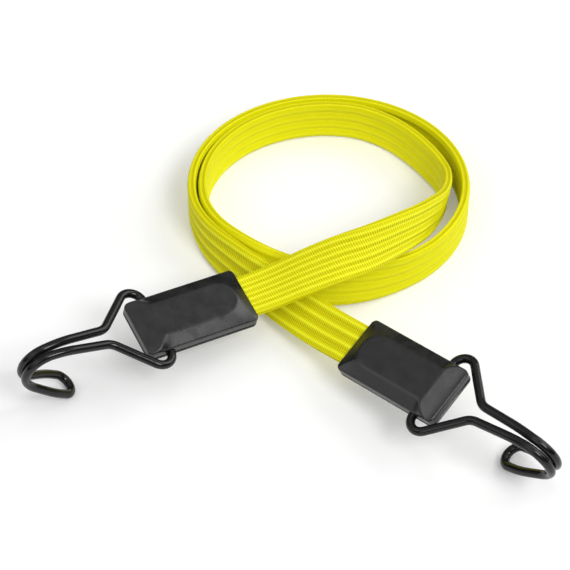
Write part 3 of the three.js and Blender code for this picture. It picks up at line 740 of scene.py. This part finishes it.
def lower_rings():
    """Rings of points from the seam down the wall and round to the underside."""
    wall = inset_outline(0)
    rings = [level_ring(inset_outline(SEAM_EASE), LOWER_SEAM)]
    rings += [level_ring(wall, LOWER_SEAM - SEAM_EASE), level_ring(wall, UNDERSIDE + UNDERSIDE_ROUND)]
    for turn in np.linspace(0, math.pi / 2, UNDERSIDE_POINTS)[1:]:
        outline = inset_outline(UNDERSIDE_ROUND * (1 - math.cos(turn)))
        rings.append(level_ring(outline, UNDERSIDE + UNDERSIDE_ROUND * (1 - math.sin(turn))))
    return [ring[::-1] for ring in rings]


def cutter(name):
    """The two side holes for the hook's stubs and the slot for the strap, as one closed mesh to cut with."""
    shape = bmesh.new()
    depth = HALF_WIDTH + CUT_PAST - BORE_INNER_Y
    lying = Matrix.Rotation(math.pi / 2, 4, "X")
    for side in (-1, 1):
        place = Matrix.Translation((0, side * (BORE_INNER_Y + depth / 2), 0)) @ lying
        bmesh.ops.create_cone(
            shape, cap_ends=True, segments=BORE_SIDES, depth=depth, matrix=place,
            radius1=BORE_RADIUS, radius2=BORE_RADIUS,
        )
    size = Matrix.Diagonal((SLOT_DEPTH, 2 * SLOT_HALF_WIDTH, 2 * SLOT_HALF_HEIGHT, 1))
    place = Matrix.Translation((TAIL_X + SLOT_DEPTH / 2 - CUT_PAST, 0, 0))
    bmesh.ops.create_cube(shape, size=1, matrix=place @ size)
    mesh = bpy.data.meshes.new(name)
    shape.to_mesh(mesh)
    shape.free()
    piece = bpy.data.objects.new(name, mesh)
    bpy.context.collection.objects.link(piece)
    return piece


def cut_shell(piece, tool):
    """Cuts the tool out of the piece for good, and keeps the cut edges sharp."""
    cut = piece.modifiers.new("cut", "BOOLEAN")
    cut.object = tool
    cut.operation = "DIFFERENCE"
    cut.solver = "EXACT"
    whole = bpy.data.meshes.new_from_object(piece.evaluated_get(bpy.context.evaluated_depsgraph_get()))
    piece.modifiers.clear()
    piece.data = whole
    whole.polygons.foreach_set("use_smooth", np.ones(len(whole.polygons), dtype=bool))
    whole.set_sharp_from_angle(angle=SHARP_ANGLE)


def make_block(end, material):
    tool = cutter(f"{end}_cutter")
    for half, rings in (("upper", upper_rings()), ("lower", lower_rings())):
        faces = ring_faces(len(rings), len(rings[0]))
        piece = add_piece(f"{end}_{half}_moulding", np.vstack(rings), faces, material)
        cut_shell(piece, tool)
        piece.data.transform(block_matrix(end))
        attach(piece, "cord")
        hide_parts(f"{end}_{half}_shell")
    bpy.data.objects.remove(tool)


# Stage and light


def make_floor():
    """A pale matt floor, a little brighter to the eye and in reflections, that keeps the object's shadow."""
    material, tree, shader = new_material("floor")
    shader.inputs["Base Color"].default_value = (0.9, 0.9, 0.9, 1)
    shader.inputs["Roughness"].default_value = 1.0
    shader.inputs["Specular IOR Level"].default_value = 0.0
    light_path = tree.nodes.new("ShaderNodeLightPath")
    seen = calc(tree, "MAXIMUM", light_path.outputs["Is Camera Ray"], light_path.outputs["Is Glossy Ray"])
    seen = calc(tree, "MAXIMUM", seen, light_path.outputs["Is Transmission Ray"])
    glow = calc(tree, "MULTIPLY", seen, FLOOR_GLOW)
    tree.links.new(glow, shader.inputs["Emission Strength"])
    shader.inputs["Emission Color"].default_value = (1, 1, 1, 1)
    size = FLOOR_HALF_SIZE
    corners = [(-size, -size, 0), (size, -size, 0), (size, size, 0), (-size, size, 0)]
    floor = add_piece("floor", corners, [(0, 1, 2, 3)], material)
    floor.location.z = -FLOOR_BELOW


def make_lights():
    """A soft dome overhead, darker towards the horizon, and the lamps, all aimed at the view's middle."""
    world = bpy.data.worlds.new("studio")
    world.use_nodes = True
    tree = world.node_tree
    where = tree.nodes.new("ShaderNodeTexCoord")
    split = tree.nodes.new("ShaderNodeSeparateXYZ")
    tree.links.new(where.outputs["Generated"], split.inputs["Vector"])
    overhead = between(tree, split.outputs["Z"], *DOME_RISE)
    dome = calc(tree, "ADD", calc(tree, "MULTIPLY", overhead, DOME_TOP - DOME_FOOT), DOME_FOOT)
    background = tree.nodes["Background"]
    background.inputs["Color"].default_value = (1, 1, 1, 1)
    tree.links.new(dome, background.inputs["Strength"])
    bpy.context.scene.world = world
    for name, place, size, power in LAMPS:
        data = bpy.data.lights.new(name, "AREA")
        data.size = size
        data.energy = power
        lamp = bpy.data.objects.new(name, data)
        lamp.location = place
        lamp.rotation_euler = (LOOK_AT - Vector(place)).to_track_quat("-Z", "Y").to_euler()
        bpy.context.collection.objects.link(lamp)


# The whole scene


def make_strap():
    stations = strap_stations(SLEEVE_STEP)
    sleeve = sweep("strap_sleeve", stations, sleeve_outline(), sleeve_cloth())
    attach(sleeve, "cord")
    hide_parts("strap_cover")
    rubber = strip_rubber()
    core = strap_stations(STRIP_STEP)
    for rib in range(RIB_COUNT):
        strip = sweep(f"strap_rubber_{rib + 1}", core, strip_outline(rib), rubber)
        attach(strip, "cord")
        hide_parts(f"rubber_strip_{rib + 1}")


make_camera()
make_strap()
wire = coated_wire()
plastic = block_plastic()
steel = clamp_steel()
for end in ENDS:
    make_block(end, plastic)
    hook = make_hook(end, wire)
    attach(hook, f"{end}_hook")
    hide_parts(f"{end}_hook")
    clamp = bpy.data.objects[f"{end}_strap_clamp"]
    clamp.data.materials.clear()
    clamp.data.materials.append(steel)
make_floor()
make_lights()
bpy.context.scene.view_settings.view_transform = "Standard"
